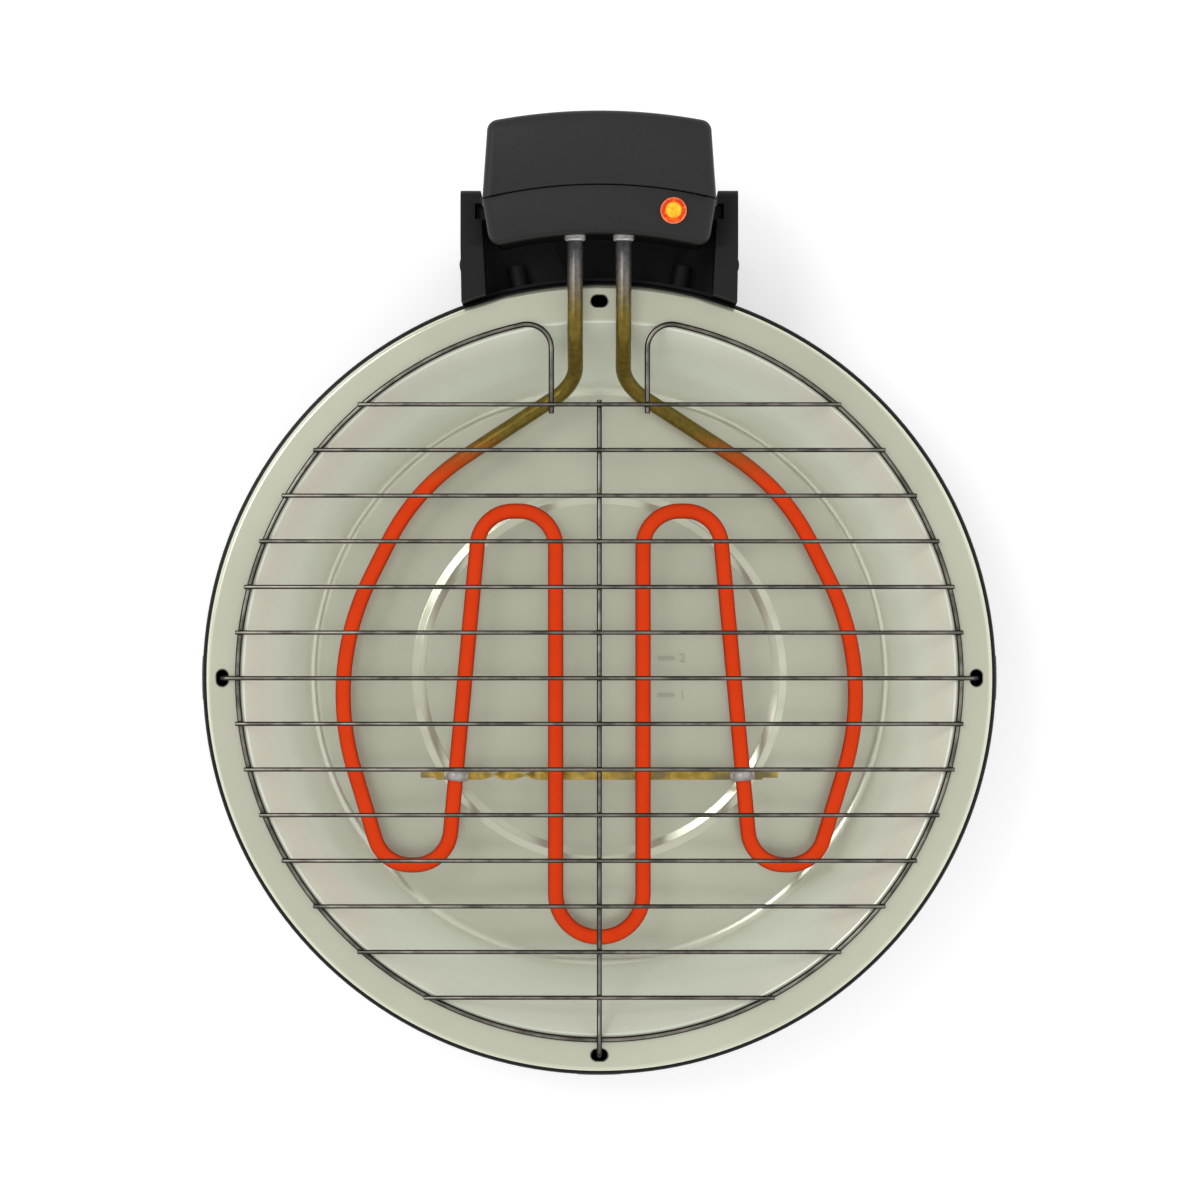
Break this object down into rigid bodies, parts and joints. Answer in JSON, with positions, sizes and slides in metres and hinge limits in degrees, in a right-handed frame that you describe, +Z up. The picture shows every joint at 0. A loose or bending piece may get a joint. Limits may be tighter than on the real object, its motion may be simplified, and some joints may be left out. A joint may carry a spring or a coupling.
{
  "type": "electric table grill",
  "caption": "Round table grill: a black bowl on moulded feet holds a lift-out water pan, a bent tubular heating element on a rear control box and a loose wire rack.",
  "frame": {"origin": "centre of the footprint, on the table under the feet", "axes": "+X to the right seen from the front, +Y to the rear where the control box is, +Z up"},
  "size_m": [0.3616, 0.432, 0.1209],
  "materials": {
    "bowl_enamel": "satin",
    "holder_plastic": "matte",
    "foot_rubber": "matte",
    "screw_steel": "satin",
    "pan_steel": "satin",
    "rack_wire": "polished",
    "unit_plastic": "matte",
    "tub_plastic": "matte",
    "lens_amber": "gloss",
    "lamp_glass": "gloss",
    "element_sheath": "satin",
    "ferrule_metal": "satin",
    "strap_zinc": "satin",
    "ceramic_white": "matte",
    "switch_plastic": "matte",
    "lead_insulation": "matte"
  },
  "bodies": {
    "base": {"base_bowl": "bowl_enamel", "holder_bracket": "holder_plastic", "bracket_screws": "screw_steel", "left_leg": "holder_plastic", "right_leg": "holder_plastic", "front_leg": "holder_plastic", "leg_screws": "screw_steel", "left_foot_pad": "foot_rubber", "right_foot_pad": "foot_rubber", "front_foot_pad": "foot_rubber", "rear_left_foot_pad": "foot_rubber", "rear_right_foot_pad": "foot_rubber"},
    "pan": {"water_pan": "pan_steel"},
    "heating_unit": {"unit_tub": "tub_plastic", "unit_top_cover": "unit_plastic", "unit_fascia": "unit_plastic", "unit_screws": "screw_steel", "pilot_lens": "lens_amber", "pilot_lamp": "lamp_glass", "heating_element": "element_sheath", "left_ferrule": "ferrule_metal", "right_ferrule": "ferrule_metal", "left_end_seal": "ceramic_white", "right_end_seal": "ceramic_white", "left_terminal_pin": "screw_steel", "right_terminal_pin": "screw_steel", "element_strap": "strap_zinc", "left_strap_clip": "ferrule_metal", "right_strap_clip": "ferrule_metal", "terminal_block": "ceramic_white", "thermal_cutout": "switch_plastic", "safety_switch": "switch_plastic", "cord_gland": "tub_plastic", "left_lead": "lead_insulation", "right_lead": "lead_insulation", "lamp_leads": "lead_insulation", "switch_leads": "lead_insulation"},
    "plunger": {"switch_plunger": "switch_plastic"},
    "rack": {"rack_ring": "rack_wire", "rack_stay": "rack_wire", "cross_wire_01": "rack_wire", "cross_wire_02": "rack_wire", "cross_wire_03": "rack_wire", "cross_wire_04": "rack_wire", "cross_wire_05": "rack_wire", "cross_wire_06": "rack_wire", "cross_wire_07": "rack_wire", "cross_wire_08": "rack_wire", "cross_wire_09": "rack_wire", "cross_wire_10": "rack_wire", "cross_wire_11": "rack_wire", "cross_wire_12": "rack_wire", "cross_wire_13": "rack_wire", "cross_wire_14": "rack_wire"}
  },
  "joints": [
    {"name": "pan_lift", "type": "slide", "parent": "base", "child": "pan", "axis": [0, 0, 1], "range_m": [0, 0.12]},
    {"name": "unit_lift", "type": "slide", "parent": "pan", "child": "heating_unit", "axis": [0, 0, 1], "range_m": [0, 0.12]},
    {"name": "rack_lift", "type": "slide", "parent": "heating_unit", "child": "rack", "axis": [0, 0, 1], "range_m": [0, 0.1]},
    {"name": "plunger_slide", "type": "slide", "parent": "heating_unit", "child": "plunger", "axis": [0, 0, -1], "range_m": [0, 0.003]}
  ],
  "couplings": [
    {"joint": "plunger_slide", "follows": "unit_lift", "ratio": 0.025}
  ]
}
